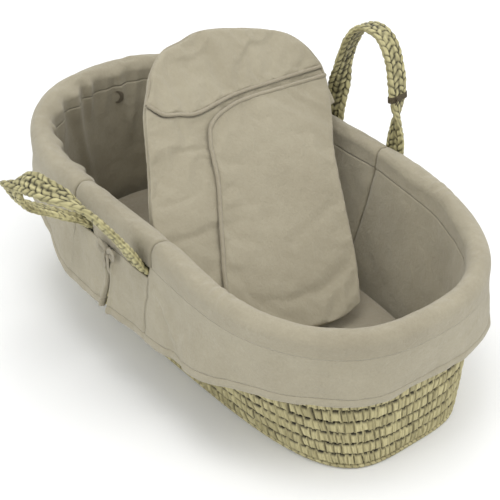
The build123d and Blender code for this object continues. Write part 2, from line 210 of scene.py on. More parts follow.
def angle_at_x(x, z):
    """Angle from 0 to pi where the wall has that x at height z (the far side)."""
    a = np.linspace(0, PI, 721)
    x, z = np.broadcast_arrays(np.asarray(x, float), np.asarray(z, float))
    found = [np.interp(-u, -wall_xy(a, v)[0], a) for u, v in zip(x.ravel(), z.ravel())]
    return np.array(found).reshape(x.shape)


# ------------------------------------------------------------------ meshes
def set_uv(mesh, uv):
    """Gives each corner of the mesh its vertex's place on the cloth or strand."""
    corner = np.zeros(len(mesh.loops), np.int32)
    mesh.loops.foreach_get("vertex_index", corner)
    mesh.uv_layers["UVMap"].data.foreach_set("uv", np.asarray(uv, np.float32)[corner].ravel())


def new_piece(name, points, faces, uv=None, material=None):
    mesh = bpy.data.meshes.new(name)
    mesh.from_pydata([tuple(p) for p in np.asarray(points).reshape(-1, 3)], [], faces)
    mesh.validate()
    mesh.shade_smooth()
    if uv is not None:
        mesh.uv_layers.new(name="UVMap")
        set_uv(mesh, uv)
    piece = bpy.data.objects.new(name, mesh)
    bpy.context.scene.collection.objects.link(piece)
    if material is not None:
        mesh.materials.append(material)
    return piece


def grid_faces(rows, cols, closed, start=0, flip=False):
    faces = []
    for r in range(rows - 1):
        for c in range(cols if closed else cols - 1):
            d = (c + 1) % cols
            quad = [r * cols + c, r * cols + d, (r + 1) * cols + d, (r + 1) * cols + c]
            faces.append([start + v for v in (reversed(quad) if flip else quad)])
    return faces


def run_lengths(grid):
    """Distance along each row and down each column of a grid of points, for a cloth's threads."""
    along = np.cumsum(np.linalg.norm(np.diff(grid, axis=1, prepend=grid[:, :1]), axis=2), axis=1)
    down = np.cumsum(np.linalg.norm(np.diff(grid, axis=0, prepend=grid[:1]), axis=2), axis=0)
    middle = along[len(along) // 2][None, :].repeat(len(grid), axis=0)
    return np.stack([middle, down], axis=-1).reshape(-1, 2)


def shell_between(name, front, back, material, closed=False):
    """Closed solid between two grids of the same size, sealed along its edges."""
    rows, cols = front.shape[:2]
    count = rows * cols
    faces = grid_faces(rows, cols, closed) + grid_faces(rows, cols, closed, count, flip=True)
    for c in range(cols if closed else cols - 1):
        d = (c + 1) % cols
        last = (rows - 1) * cols
        faces.append([d, c, count + c, count + d])
        faces.append([last + c, last + d, count + last + d, count + last + c])
    if not closed:
        for r in range(rows - 1):
            a, b = r * cols, (r + 1) * cols
            faces.append([a, b, count + b, count + a])
            a, b = a + cols - 1, b + cols - 1
            faces.append([b, a, count + a, count + b])
    uv = np.concatenate([run_lengths(front), run_lengths(back)])
    piece = new_piece(name, np.concatenate([front.reshape(-1, 3), back.reshape(-1, 3)]), faces, uv, material)
    return turned_out(piece)


def turned_out(piece):
    """Flips a closed mesh whose faces look inward."""
    mesh = piece.data
    mesh.calc_loop_triangles()
    co = np.zeros(len(mesh.vertices) * 3)
    mesh.vertices.foreach_get("co", co)
    tri = np.zeros(len(mesh.loop_triangles) * 3, np.int32)
    mesh.loop_triangles.foreach_get("vertices", tri)
    a, b, c = co.reshape(-1, 3)[tri.reshape(-1, 3)].transpose(1, 0, 2)
    if (a * np.cross(b, c)).sum() < 0:
        mesh.flip_normals()
    return piece


def tube_along(name, centres, sides, ups, half_width, half_height, material, around=12, closed=False):
    """Tube of oval section along a line, with its own side and up directions at each point."""
    turn = np.linspace(0, 2 * PI, around, endpoint=False)
    w = np.asarray(half_width).reshape(-1, 1, 1) * np.cos(turn)[None, :, None]
    h = np.asarray(half_height).reshape(-1, 1, 1) * np.sin(turn)[None, :, None]
    grid = centres[:, None] + sides[:, None] * w + ups[:, None] * h
    return tube_from(name, grid, material, closed)


def tube_from(name, grid, material, closed=False):
    """Tube whose rows are its rings; the ends are capped unless it closes on itself."""
    if closed:
        grid = np.concatenate([grid, grid[:1]])
    rows, cols = grid.shape[:2]
    faces = grid_faces(rows, cols, True)
    uv = run_lengths(grid)
    if closed:
        faces = [[v % ((rows - 1) * cols) for v in f] for f in faces]
        grid, uv = grid[:-1], uv[:-cols]
    else:
        faces += [list(range(cols - 1, -1, -1)), list(range((rows - 1) * cols, rows * cols))]
    return turned_out(new_piece(name, grid, faces, uv, material))


def line_frames(centres, up):
    """Unit side and up vectors along a line of points, up being as near to the given one as it can."""
    along = unit(np.gradient(centres, axis=0))
    side = np.cross(along, np.broadcast_to(up, centres.shape))
    side = unit(side)
    return side, np.cross(side, along)


def keep_values(piece, **values):
    """Stores one number for each vertex, for the piece's material to read."""
    for name, numbers in values.items():
        attribute = piece.data.attributes.new(name, "FLOAT", "POINT")
        attribute.data.foreach_set("value", np.asarray(numbers, np.float32).ravel())


def settle(piece, body, slot, *nodes):
    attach(piece, body)
    if nodes:
        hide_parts(*nodes)
    return piece


# ------------------------------------------------------------------ materials
def add(tree, kind, inputs=None, **settings):
    """A shader node with its settings, and its inputs set to values or joined to sockets."""
    node = tree.nodes.new("ShaderNode" + kind)
    for key, value in settings.items():
        setattr(node, key, value)
    for key, value in (inputs or {}).items():
        if isinstance(value, bpy.types.NodeSocket):
            tree.links.new(value, node.inputs[key])
        else:
            node.inputs[key].default_value = value
    return node


def noise_at(tree, place, scale, detail=2.0, rough=0.5):
    inputs = {"Vector": place, "Scale": scale, "Detail": detail, "Roughness": rough}
    return add(tree, "TexNoise", inputs).outputs["Fac"]


def maths(tree, operation, a, b=0.0):
    return add(tree, "Math", {0: a, 1: b}, operation=operation).outputs[0]


def ramp(tree, value, low, high):
    inputs = {"Value": value, "From Min": low, "From Max": high}
    return add(tree, "MapRange", inputs, clamp=True).outputs["Result"]


def mixed(tree, share, a, b):
    node = add(tree, "Mix", data_type="RGBA")
    for key, value in ((0, share), (6, a), (7, b)):
        if isinstance(value, bpy.types.NodeSocket):
            tree.links.new(value, node.inputs[key])
        else:
            node.inputs[key].default_value = value if key == 0 else (*value, 1.0)
    return node.outputs[2]


def raised(tree, heights):
    """Bump from (height, metres) pairs, one on top of another."""
    normal = None
    for height, distance in heights:
        inputs = {"Height": height, "Distance": distance, "Strength": 1.0}
        if normal is not None:
            inputs["Normal"] = normal
        normal = add(tree, "Bump", inputs).outputs["Normal"]
    return normal


def new_material(name):
    material = bpy.data.materials.new(name)
    material.use_nodes = True
    tree = material.node_tree
    tree.nodes.clear()
    shader = tree.nodes.new("ShaderNodeBsdfPrincipled")
    output = tree.nodes.new("ShaderNodeOutputMaterial")
    tree.links.new(shader.outputs[0], output.inputs[0])
    return material, tree, shader


def dress(tree, shader, color, roughness, normal, **values):
    tree.links.new(color, shader.inputs["Base Color"])
    tree.links.new(normal, shader.inputs["Normal"])
    if isinstance(roughness, bpy.types.NodeSocket):
        tree.links.new(roughness, shader.inputs["Roughness"])
    else:
        shader.inputs["Roughness"].default_value = roughness
    for key, value in values.items():
        shader.inputs[key.replace("_", " ")].default_value = value


def velour(name, light, dark, thread=0.0011, sheen=0.35):
    """Short-pile cloth: crossed threads, pile, cloudy brushing and faint creases."""
    material, tree, shader = new_material(name)
    place = add(tree, "TexCoord").outputs
    cloth = place["UV"]
    cloud = noise_at(tree, place["Object"], 11.0, 4.0, 0.6)
    pile = noise_at(tree, place["Object"], 900.0, 2.0, 0.7)
    fleck = noise_at(tree, place["Object"], 260.0, 3.0, 0.7)
    wave = {"Vector": cloth, "Scale": 0.314 / thread, "Distortion": 0.6, "Detail": 1.0}
    warp = add(tree, "TexWave", wave, bands_direction="X").outputs["Fac"]
    weft = add(tree, "TexWave", wave, bands_direction="Y").outputs["Fac"]
    threads = maths(tree, "MULTIPLY", warp, weft)
    crease = noise_at(tree, place["Object"], 42.0, 3.0, 0.55)
    tone = maths(tree, "ADD", maths(tree, "MULTIPLY", ramp(tree, cloud, 0.3, 0.7), 0.55),
                 maths(tree, "MULTIPLY", ramp(tree, fleck, 0.3, 0.7), 0.30))
    tone = maths(tree, "ADD", tone, maths(tree, "MULTIPLY", threads, 0.15))
    color = mixed(tree, tone, dark, light)
    normal = raised(tree, [(crease, 0.0030), (threads, 0.00030), (pile, 0.00045), (fleck, 0.00060)])
    rough = ramp(tree, cloud, -0.5, 1.2)
    rough = maths(tree, "ADD", maths(tree, "MULTIPLY", rough, 0.1), 0.84)
    dress(tree, shader, color, rough, normal, Sheen_Weight=sheen, Sheen_Roughness=0.45,
          Sheen_Tint=(0.95, 0.92, 0.84, 1.0), Specular_IOR_Level=0.15)
    return material


def palm(name, light, dark, gap, across=520.0, gloss=0.55):
    """Dry palm leaf: fibres along each strand, a tone for each strand, and painted shade in the gaps between
    strands.
    """
    material, tree, shader = new_material(name)
    place = add(tree, "TexCoord").outputs
    strand = add(tree, "Attribute", attribute_name="tone").outputs["Fac"]
    painted_gap_shade = add(tree, "Attribute", attribute_name="gap").outputs["Fac"]
    stretch = {"Vector": place["UV"], "Scale": (across, across * 0.08, 1.0), "Rotation": (0, 0, 0.12)}
    along = add(tree, "Mapping", stretch).outputs["Vector"]
    fibre = noise_at(tree, along, 1.0, 3.0, 0.6)
    broad = add(tree, "Mapping", {"Vector": place["UV"], "Scale": (170.0, 12.0, 1.0)}).outputs["Vector"]
    streak = noise_at(tree, broad, 1.0, 2.0)
    blotch = noise_at(tree, place["Object"], 24.0, 3.0)
    tone = maths(tree, "MULTIPLY", strand, 0.30)
    for part, share in ((fibre, 0.46), (streak, 0.26), (blotch, 0.12)):
        tone = maths(tree, "ADD", tone, maths(tree, "MULTIPLY", ramp(tree, part, 0.28, 0.72), share))
    color = mixed(tree, maths(tree, "MINIMUM", tone, 1.0), dark, light)
    # The gap colour, near black, is painted shade laid where the gap attribute marks the gaps between
    # strands.
    color = mixed(tree, painted_gap_shade, color, gap)
    normal = raised(tree, [(streak, 0.0008), (fibre, 0.0009)])
    rough = maths(tree, "ADD", maths(tree, "MULTIPLY", fibre, 0.25), gloss - 0.1)
    dress(tree, shader, color, rough, normal, Specular_IOR_Level=0.3)
    return material


def twisted_thread(name, light, dark, turns):
    """Wound or sewn thread: fine diagonal ply lines."""
    material, tree, shader = new_material(name)
    place = add(tree, "TexCoord").outputs
    ply = add(tree, "TexWave", {"Vector": place["UV"], "Scale": turns, "Distortion": 1.0},
              bands_direction="DIAGONAL").outputs["Fac"]
    fuzz = noise_at(tree, place["Object"], 700.0, 2.0)
    tone = maths(tree, "ADD", maths(tree, "MULTIPLY", ply, 0.6), maths(tree, "MULTIPLY", fuzz, 0.4))
    dress(tree, shader, mixed(tree, tone, dark, light), 0.7, raised(tree, [(ply, 0.0003), (fuzz, 0.0002)]))
    return material


def foam(name):
    material, tree, shader = new_material(name)
    place = add(tree, "TexCoord").outputs["Object"]
    cells = add(tree, "TexVoronoi", {"Vector": place, "Scale": 600.0}).outputs["Distance"]
    color = mixed(tree, ramp(tree, cells, 0.0, 0.8), (0.62, 0.60, 0.50), (0.80, 0.78, 0.68))
    dress(tree, shader, color, 0.95, raised(tree, [(cells, 0.0006)]))
    return material


VELOUR_LIGHT, VELOUR_DARK = (0.395, 0.355, 0.262), (0.300, 0.265, 0.190)
LINER = velour("liner_velour", VELOUR_LIGHT, VELOUR_DARK)
SKIRT = velour("skirt_velour", (0.400, 0.362, 0.270), (0.312, 0.278, 0.200), thread=0.0014)
NEST = velour("nest_velour", (0.402, 0.362, 0.268), (0.320, 0.283, 0.203))
MATTRESS = velour("mattress_velour", (0.360, 0.320, 0.240), (0.290, 0.252, 0.185))
PIPING = velour("piping_velour", (0.405, 0.362, 0.268), (0.300, 0.262, 0.190), thread=0.0009)
TIE = velour("tie_cloth", (0.420, 0.385, 0.290), (0.300, 0.262, 0.190), thread=0.0008)
# The last colour of each palm material is the painted shade of its gaps.
PALM = palm("palm_weave", (0.640, 0.575, 0.315), (0.185, 0.155, 0.068), (0.009, 0.006, 0.002))
PLAIT = palm("palm_plait", (0.640, 0.585, 0.310), (0.165, 0.142, 0.062), (0.008, 0.006, 0.002), across=420.0)
THREAD = twisted_thread("motif_thread", (0.20, 0.165, 0.11), (0.11, 0.09, 0.06), 500.0)
RAFFIA = twisted_thread("raffia_cord", (0.13, 0.10, 0.05), (0.035, 0.026, 0.012), 160.0)
FOAM = foam("mattress_foam")


# ------------------------------------------------------------------ camera, light and floor
def make_camera():
    azimuth, elevation, distance = radians(51.1), radians(34.9), 2.2
    target = Vector((0.010, 0.0, 0.146))
    back = Vector((sin(azimuth) * cos(elevation), -cos(azimuth) * cos(elevation), sin(elevation)))
    camera = bpy.data.objects.new("camera", bpy.data.cameras.new("camera"))
    camera.data.lens = 98.0
    camera.data.sensor_width = 36.0
    camera.location = target + back * distance
    camera.rotation_mode = "QUATERNION"
    camera.rotation_quaternion = (-back).to_track_quat("-Z", "Y")
    bpy.context.scene.collection.objects.link(camera)
    bpy.context.scene.camera = camera


def area_light(name, place, aim, size, power, color):
    lamp = bpy.data.lights.new(name, "AREA")
    lamp.shape = "DISK"
    lamp.size = size
    lamp.energy = power
    lamp.color = color
    light = bpy.data.objects.new(name, lamp)
    light.location = place
    light.rotation_mode = "QUATERNION"
    light.rotation_quaternion = (Vector(aim) - Vector(place)).to_track_quat("-Z", "Y")
    bpy.context.scene.collection.objects.link(light)


def make_lights():
    world = bpy.data.worlds.new("soft_studio")
    bpy.context.scene.world = world
    world.use_nodes = True
    sky = world.node_tree.nodes["Background"]
    sky.inputs["Color"].default_value = (0.97, 0.985, 1.0, 1.0)
    sky.inputs["Strength"].default_value = 0.93
    area_light("key", (2.1, 0.5, 2.3), (0.05, 0.0, 0.15), 1.6, 22.0, (1.0, 0.985, 0.95))
    area_light("fill", (0.2, -2.6, 1.3), (0.0, 0.0, 0.15), 2.0, 13.0, (0.97, 0.99, 1.0))
    area_light("back", (-1.6, 1.8, 2.2), (0.0, 0.0, 0.2), 1.6, 16.0, (1.0, 1.0, 1.0))
    area_light("top", (0.1, -0.3, 2.4), (0.0, 0.0, 0.1), 1.2, 14.0, (1.0, 0.99, 0.97))


def make_floor():
    material, tree, shader = new_material("floor")
    place = add(tree, "TexCoord").outputs["Object"]
    color = mixed(tree, noise_at(tree, place, 3.0), (0.86, 0.86, 0.855), (0.90, 0.90, 0.895))
    dress(tree, shader, color, 0.9, raised(tree, [(noise_at(tree, place, 60.0), 0.0002)]))
    half = 9.0
    corners = [(-half, -half, -0.0005), (half, -half, -0.0005), (half, half, -0.0005), (-half, half, -0.0005)]
    floor = new_piece("floor", corners, [[0, 1, 2, 3]], material=material)


# ------------------------------------------------------------------ palm wall and base
def brick_pattern(turn, z, count):
    """Height of the weave, painted shade in its gaps and each brick's tone, for turn 0 to 1 round the basket.
    """
    row = np.floor((z - COURSE_LOW) / BRICK_ROW + 1e-6)
    up = (z - COURSE_LOW) / BRICK_ROW - row
    run = turn * count + 0.5 * (row % 2) + 0.16 * (up - 0.5) * np.sin(2 * PI * (turn * 31 + row * 0.31))
    run = run + 0.16 * np.sin(2 * PI * (turn * 23 + row * 0.37))
    run = run + 0.14 * np.sin(2 * PI * (turn * 57 + row * 0.71))
    brick = np.floor(run)
    along = run - brick
    name = brick % count
    wide = 0.30 + 0.70 * scrambled(name, row, 3)
    seam = np.minimum(up, 1 - up)
    start = 0.05 + 0.16 * scrambled(name, row, 15)
    stop = 0.95 - 0.22 * scrambled(name, row, 17)
    dash = bell(seam / (0.070 + 0.070 * wide))
    dash = dash * smooth((along - start) / 0.08) * smooth((stop - along) / 0.08)
    side = np.minimum(along, 1 - along)
    split = bell(side / 0.12) * (0.25 + 0.75 * scrambled(name, row, 5) ** 1.5)
    fold = 0.30 + 0.4 * scrambled(name, row, 7) + 0.14 * (up - 0.5)
    ply = bell((along - fold) / 0.09) * 0.45 * smooth(scrambled(name, row, 9) * 2)
    lean = (scrambled(name, row, 11) - 0.5) * (up - 0.5) + (scrambled(name, row, 19) - 0.5) * (along - 0.5)
    crown = (1 - (2 * up - 1) ** 4) * (1 - (2 * along - 1) ** 6)
    height = 0.0022 * crown - 0.0028 * dash - 0.0021 * split - 0.0010 * ply + 0.0024 * lean
    height = height + 0.0012 * (scrambled(name, row, 13) - 0.5)
    # gap is painted shade: in the dashes between rows, the splits at brick ends and along each brick's fold.
    gap = np.clip(dash * (0.95 + 0.65 * wide) + split * 1.0 + ply * 0.55, 0, 1)
    return height, gap, scrambled(name, row, 2)


def make_course(name, low, high, fine):
    cols = 1680 if fine else 360
    rows = 30 if fine else 12
    angle = even_angles(0.0, 2 * PI, cols + 1)[:-1]
    top = high(angle) if callable(high) else np.full(cols, high)
    z = low + (top - low)[None] * np.linspace(0, 1, rows)[:, None]
    turn = (np.arange(cols) / cols)[None].repeat(rows, axis=0)
    height, gap, tone = brick_pattern(turn, z, round(2.05 / BRICK_LENGTH))
    front = wall_at(angle[None], z, 0.0029 + height)
    back = wall_at(angle[None], z, -0.0035 + 0 * height)
    piece = shell_between(name.replace("wall", "palm"), front, back, PALM, closed=True)
    # gap brings the painted shade of the weave's gaps to the palm material; the back face gets none.
    keep_values(piece, gap=np.concatenate([gap, 0 * gap]), tone=np.concatenate([tone, tone]))
    return settle(piece, "basket", "palm_weave", name)


def make_wall():
    for index in range(COURSES):
        low = COURSE_LOW + COURSE_STEP * index
        make_course("wall_course_" + str(index + 1), low, low + COURSE_STEP, index < 4)
    low = COURSE_LOW + COURSE_STEP * COURSES
    make_course("wall_course_top", low, lambda angle: rim_height(rim_xy(angle)[0]) - 0.0078, False)


def wound_ring(name, node, angle, z, offset, half_wide, half_high, wraps):
    """Ring of palm wound with a strand, whose wraps show as slanted bulges with painted shade between them.
    """
    around = 14
    turn = np.linspace(0, 2 * PI, around, endpoint=False)
    phase = wraps * np.linspace(0, 1, len(angle), endpoint=False)[:, None] + turn[None] / (2 * PI)
    bulge = 1 + 0.10 * np.abs(np.sin(PI * phase)) ** 0.5 - 0.10
    out = offset + half_wide * np.cos(turn)[None] * bulge
    up = z[:, None] + half_high * np.sin(turn)[None] * bulge
    grid = wall_at(angle[:, None] + 0 * out, up, out)
    piece = tube_from(name, grid, PALM, closed=True)
    # gap is painted shade in the grooves between the wraps.
    gap = bell(np.minimum(phase % 1, 1 - phase % 1) / 0.10) * 0.85
    keep_values(piece, gap=gap, tone=scrambled(np.floor(phase), 4))
    return settle(piece, "basket", "palm_weave", node)


def make_base():
    angle = even_angles(0.0, 2 * PI, 961)[:-1]
    wound_ring("base_coil", "base_edge_coil", angle, np.full(960, 0.0044), 0.0, 0.0046, 0.0038, 170)
    rim = rim_height(rim_xy(angle)[0])
    wound_ring("rim_coil", "rim_binding", angle, rim, 0.0, 0.0066, 0.0066, 160)
    steps, count = 40, 240
    angle = even_angles(0.0, 2 * PI, count + 1)[:-1]
    share = np.linspace(0.02, 1, steps)[:, None]
    edge = wall_at(angle, np.zeros(count), -0.0048)
    under = edge[None] * share[..., None]
    ring = np.broadcast_to(share * 9.0, (steps, count))
    row = np.floor(ring)
    lane = ring - row
    bricks = np.maximum(6, 10 * row)
    run = np.linspace(0, 1, count)[None] * bricks + 0.5 * (row % 2)
    # gap is painted shade in the seams between rows and the splits between bricks of the base; the same mask
    # also cuts shallow grooves into the underside.
    seam = bell(np.minimum(lane, 1 - lane) / 0.09)
    split = bell((run % 1 - 0.5) / 0.06) * 0.7
    gap = np.clip(seam + split, 0, 1)
    under = under + np.array([0, 0, 1]) * (0.0002 + 0.0014 * gap[..., None])
    top = edge[None] * share[..., None] + np.array([0, 0, 0.0068])
    piece = shell_between("palm_base", under, top, PALM, closed=True)
    tone = scrambled(np.floor(run), row, 6)
    keep_values(piece, gap=np.concatenate([gap, 0 * gap]), tone=np.tile(tone, (2, 1)))
    settle(piece, "basket", "palm_weave", "base_panel")


# ------------------------------------------------------------------ liner
def near_share(angle):
    """1 along the middle of the near side, where the padding is puffed up and inward."""
    x = rim_xy(angle)[0]
    return bell((x + 0.04) / 0.22) * smooth(-1.4 * np.sin(angle))


def roll_radius(x):
    return ROLL_RADIUS - 0.0025 * smooth((0.135 - np.abs(x + 0.045)) / 0.04)


def rim_run(angle):
    """Metres along the rim from the middle of the head, positive towards the near side."""
    return np.interp(angle, ANGLES, RIM_RUN) - np.interp(PI, ANGLES, RIM_RUN)


def angle_at_run(run):
    """Angle at a distance along the rim from the middle of the head."""
    return np.interp(run + np.interp(PI, ANGLES, RIM_RUN), RIM_RUN, ANGLES)


# Gathers of the head lining: shift of place, width, depth, slant and reach are drawn between these.
PLEAT_LOW, PLEAT_HIGH = (-0.014, 0.006, 0.0030, -0.20, 0.35), (0.014, 0.015, 0.0100, 0.20, 1.00)
PLEAT_PLACES = np.arange(-0.40, 0.41, 0.031)
PLEATS = [RANDOM.uniform(PLEAT_LOW, PLEAT_HIGH) + (place, 0, 0, 0, 0) for place in PLEAT_PLACES]


def pleats(angle, drop):
    """Inward swell of the gathers in the head lining, at a distance below the rim."""
    run = rim_run(angle)
    swell = 0
    for place, width, deep, slant, reach in PLEATS:
        fade = smooth((reach * 0.22 - drop) / 0.09)
        swell = swell + deep * bell((run - place - slant * drop) / width) * fade
    return swell * smooth((0.47 - np.abs(run)) / 0.08)


def inner_offset(angle, z):
    """Distance of the lining's face inward from the middle of the wall."""
    x = rim_xy(angle)[0]
    rim = rim_height(x)
    crest = roll_radius(x) + 0.011 * near_share(angle)
    base = PAD_FACE + (crest - PAD_FACE) * smooth((z - rim + 0.13) / 0.13)
    belly = 0.0045 * np.sin(PI * np.clip(z / rim, 0, 1)) ** 2
    spot = wall_at(angle, z, 0.0)
    loose = 0.0022 * noise(spot, 14, 3) + 0.0010 * noise(spot, 38, 4)
    loose = loose * smooth((z - 0.02) / 0.05)
    return base + belly + loose + pleats(angle, rim - z) * smooth((z - 0.03) / 0.06)


def skirt_offset(angle, z):
    """Distance of the skirt's face outward from the rim's outline, from which it hangs."""
    x = rim_xy(angle)[0]
    hang = smooth((0.232 - z) / 0.10)
    flare = np.clip((0.240 - z) / 0.140, 0, 1.1) * (1 - np.cos(angle) ** 4)
    run = rim_run(angle)
    waves = 0.0032 * np.sin(run * 31 + 1.3) + 0.0022 * np.sin(run * 53 + 0.4 + 9 * z)
    spot = np.stack(np.broadcast_arrays(run, 0 * run, z), axis=-1)
    ripple = 0.0026 * noise(spot, 22, 5) + 0.0014 * noise(spot, 60, 6)
    near = smooth(-2 * np.sin(angle))
    fold = x - FOLD_X + (z - FOLD_Z) * FOLD_SLOPE
    lap = 0.0042 * smooth(fold / 0.007 + 0.5) * smooth((0.075 - fold) / 0.07)
    lap = lap * near * smooth((0.215 - z) / 0.04)
    seam = -0.0020 * bell((x - SLOT["near"][1]) / 0.0024) * near * smooth((0.219 - z) / 0.01)
    return SKIRT_FACE + SKIRT_FLARE * flare + waves * hang + ripple * smooth((0.25 - z) / 0.05) + lap + seam


def outer_offset(angle, z):
    """Outer face of the cloth below the crest of the rolled rim."""
    x = rim_xy(angle)[0]
    share = smooth((rim_height(x) - z) / 0.055)
    return roll_radius(x) + (skirt_offset(angle, z) - roll_radius(x)) * share


def hem_height(x):
    up = HEM_FOOT_RISE * smooth((x - 0.05) / 0.28) + HEM_HEAD_RISE * smooth((-x - 0.15) / 0.16)
    return HEM_LEVEL + up


def sector(which, z, count=400, gap=0.0003):
    """Angles of a part of the ring for rows at heights z, cut off at constant x."""
    z = np.atleast_1d(z)
    inner = gap if which in SIDE else -gap
    far_low, near_low = [angle_at_x(PANEL[name][0] + inner, z) for name in ("far", "near")]
    far_high, near_high = [angle_at_x(PANEL[name][1] - inner, z) for name in ("far", "near")]
    near_low, near_high = 2 * PI - near_low, 2 * PI - near_high
    return {
        "foot": even_angles(near_high - 2 * PI, far_high, count),
        "head": even_angles(far_low, near_low, count),
        "far": even_angles(far_high, far_low, count),
        "near": even_angles(near_low, near_high, count),
    }[which]


def seamed(grid_run, edge, deep):
    """Sinks a pad by deep where it is sewn, edge metres from either end of its rows."""
    near_end = np.minimum(grid_run, grid_run[..., -1:] - grid_run)
    return deep * (1 - np.sqrt(1 - (1 - np.clip(near_end / edge, 0, 1)) ** 2))


def make_pad(which, node, count):
    rows = 64
    share = np.linspace(0, 1, rows)
    angle = sector(which, np.full(rows, 0.14), count)
    z = 0.0131 + (rim_height(rim_xy(angle)[0]) - 0.019 - 0.0131) * share[:, None]
    angle = np.stack([sector(which, row.mean(), count)[0] for row in z])
    run = rim_run(angle) - rim_run(angle[:, :1])
    sink = seamed(np.abs(run), 0.012, 0.0055)
    front = wall_at(angle, z, -inner_offset(angle, z) + sink)
    back = wall_at(angle, z, np.full(z.shape, -PAD_BACK))
    piece = shell_between("lining_" + which, front, back, LINER)
    return settle(piece, "basket", "liner_velour", node)


def roll_section(which, count, low_edge):
    """Front and back grids of the cloth that is rolled over the rim, from inside to outside."""
    angle = sector(which, np.array([0.25]), count)[0]
    x = rim_xy(angle)[0]
    rim = rim_height(x)
    radius = roll_radius(x)
    puff = near_share(angle)
    fronts, backs = [], []
    for drop in np.linspace(0.019, 0.0, 6, endpoint=False):
        z = rim - drop
        fronts.append(wall_at(angle, z, -inner_offset(angle, z)))
        backs.append(wall_at(angle, z, 0 * z - ROLL_SEAT))
    start = inner_offset(angle, rim)
    for turn in np.linspace(PI, 0, 30):
        c, s = np.cos(turn), np.sin(turn)
        spot = np.stack([rim_run(angle), 0 * angle + turn * 0.03, 0 * angle], axis=-1)
        loose = (0.0022 * noise(spot, 30, 8) + 0.0016 * noise(spot, 75, 9)) * s
        loose = loose + 0.0014 * np.sin(rim_run(angle) * 330) * bell((x - 0.205) / 0.030) * s
        inward = start - (start - radius - 0.011 * puff) * smooth(s)
        reach = inward if c < 0 else radius
        z = rim + s * (radius + 0.008 * puff + loose)
        fronts.append(wall_at(angle, rim + 0 * z, c * (reach + 0 * z)))
        fronts[-1][..., 2] = z
        backs.append(wall_at(angle, rim + 0 * z, c * ROLL_SEAT + 0 * z))
        backs[-1][..., 2] = rim + s * ROLL_SEAT
    edge = low_edge(x) if callable(low_edge) else rim - low_edge
    for share in np.linspace(0, 1, 9)[1:]:
        z = rim + (edge - rim) * share
        out = outer_offset(angle, z)
        fronts.append(hang_at(angle, z, out))
        backs.append(hang_at(angle, z, np.maximum(ROLL_SEAT + (out - 0.004 - ROLL_SEAT) * share, ROLL_SEAT)))
    return np.stack(fronts), np.stack(backs)


def make_roll(which, node, count, low_edge=0.019):
    front, back = roll_section(which, count, low_edge)
    along = np.linalg.norm(np.diff(front[20], axis=0, prepend=front[20][:1]), axis=1).cumsum()
    sink = seamed(along[None], 0.006, 0.003)
    centre = (back + front) / 2
    front = front + (centre - front) / np.linalg.norm(centre - front, axis=2)[..., None] * sink[..., None]
    piece = shell_between("rim_" + which, front, back, LINER)
    return settle(piece, "basket", "liner_velour", node)


def rim_turn(x):
    """Angle from 0 to pi where the rim has that x (the far side)."""
    return np.interp(-np.asarray(x), -RIM_X, RIM_TURNS)


def slit_gape(sign, z):
    return 0.0026 + 0.0040 * smooth((0.205 - z) / 0.08) + 0.0012 * np.sin(z * 95 + sign)


def skirt_angles(sign, z, count):
    near = rim_turn(SLIT_X["near"] + sign * slit_gape(sign, z))
    far = rim_turn(SLIT_X["far"] + sign * slit_gape(sign, z))
    return even_angles(-near, far, count) if sign > 0 else even_angles(far, 2 * PI - near, count)


def skirt_grid(sign, top, bottom, rows, count, face, back):
    """Front and back grids of a half of the skirt between two heights."""
    middle = skirt_angles(sign, 0.15, count)
    share = np.linspace(0, 1, rows)[:, None]
    z = top(middle)[None] + (bottom(middle) - top(middle))[None] * share
    angle = np.stack([skirt_angles(sign, row.mean(), count) for row in z])
    edge = np.minimum(np.arange(count), np.arange(count)[::-1]) * 0.0019
    turned = (0.0034 + 0.0016 * np.sin(z * 70)) * bell((edge - 0.004) / 0.004) - 0.0026 * bell(edge / 0.002)
    out = outer_offset(angle, z) + turned
    return hang_at(angle, z, out + face(share)), hang_at(angle, z, out - back(share))


def skirt_top(angle):
    x = rim_xy(angle)[0]
    near = np.sin(angle) < 0
    low, high = [np.where(near, SLOT["near"][k], SLOT["far"][k]) for k in (0, 1)]
    return np.where((x > low) & (x < high), SLOT_Z, rim_height(x) - 0.019)


def make_skirt(sign, name):
    count = 520
    front, back = skirt_grid(sign, skirt_top, lambda a: hem_height(rim_xy(a)[0]) + HEM_BAND, 54, count,
                             lambda share: 0 * share, lambda share: SKIRT_THICK - 0.001 + 0 * share)
    skirt = shell_between("cloth_skirt_" + name, front, back, SKIRT)
    front, back = skirt_grid(sign, lambda a: hem_height(rim_xy(a)[0]) + HEM_BAND,
                             lambda a: hem_height(rim_xy(a)[0]), 9, count,
                             lambda share: 0.0022 * np.sin(PI * share) ** 0.5 - 0.0012 * (1 - share),
                             lambda share: 0.0042 - 0.0030 * share ** 4)
    hem = shell_between("cloth_hem_" + name, front, back, SKIRT)
    seam_line = front[0]
    settle(skirt, "basket", "skirt_velour", "skirt_" + name)
    settle(hem, "basket", "skirt_velour")
    sewn = stitches("hem_stitches_" + name, seam_line, front[0] - back[0], 0.0030, 0.0014, 0.00045, PIPING)
    settle(sewn, "basket", "skirt_velour")


def stitches(name, line, outward, length, gap, radius, material):
    """Row of short threads along a line of points, each dipping into the cloth at its ends."""
    along = distances(line)
    outward = unit(outward)
    starts = np.arange(0.002, along[-1] - length, length + gap)
    share = np.linspace(0, 1, 4)
    places = starts[:, None] + share * length
    centre = np.stack([np.interp(places, along, line[:, k]) for k in range(3)], axis=-1)
    out = np.stack([np.interp(places, along, outward[:, k]) for k in range(3)], axis=-1)
    centre = centre + out * (radius * 1.2 * np.sin(PI * share) - radius * 0.3)[None, :, None]
    return many_tubes(name, [(c, o, radius, radius) for c, o in zip(centre, out)], material, around=5)


